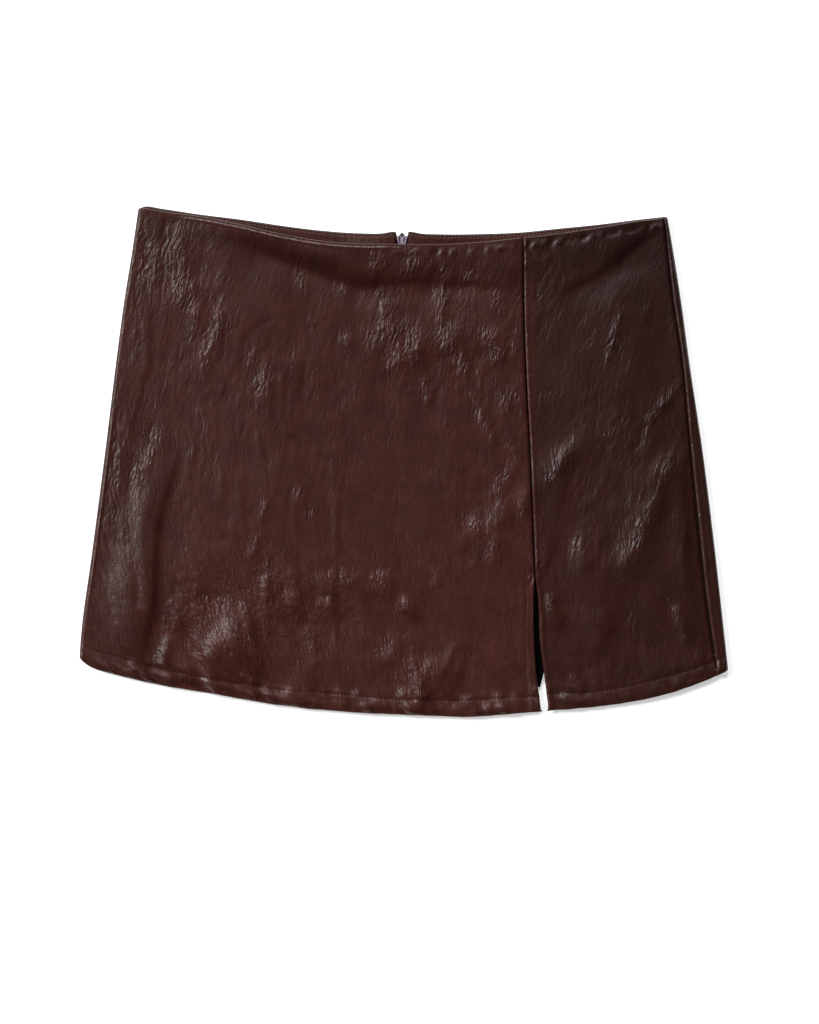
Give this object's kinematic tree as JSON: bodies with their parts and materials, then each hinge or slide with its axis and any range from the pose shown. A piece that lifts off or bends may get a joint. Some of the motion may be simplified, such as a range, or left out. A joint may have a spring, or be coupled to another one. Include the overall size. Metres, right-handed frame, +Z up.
{
  "type": "faux leather skort",
  "caption": "Short A-line skort of crinkled faux leather with a hem slit, faced waist, back zip and inner shorts, laid flat.",
  "frame": {"origin": "on the surface it lies on, below the middle of the garment's outline", "axes": "+X to the right as seen from above, +Y from the hem to the waist, +Z up through the front"},
  "size_m": [0.4546, 0.3581, 0.0081],
  "materials": {
    "faux_leather": "satin, crinkled",
    "jersey": "matt knit",
    "zip_tape": "matt woven",
    "zip_coil": "satin",
    "zip_metal": "satin enamel",
    "thread": "polyester thread"
  },
  "bodies": {
    "garment": {"front_wide": "faux_leather", "front_narrow": "faux_leather", "back_left": "faux_leather", "back_right": "faux_leather", "back_facing_left": "faux_leather", "back_facing_right": "faux_leather", "shorts_front_left": "jersey", "shorts_front_right": "jersey", "shorts_back_left": "jersey", "shorts_back_right": "jersey", "zip_tape_left": "zip_tape", "zip_tape_right": "zip_tape", "zip_slider": "zip_metal"},
    "pull_tab": {"zip_pull_tab": "zip_metal"}
  },
  "joints": [
    {"name": "pull_tab_hinge", "type": "hinge", "parent": "garment", "child": "pull_tab", "pos_m": [-0.001, 0.15575, 0.00135], "axis": [1, 0, 0], "range_deg": [0, 175]}
  ]
}
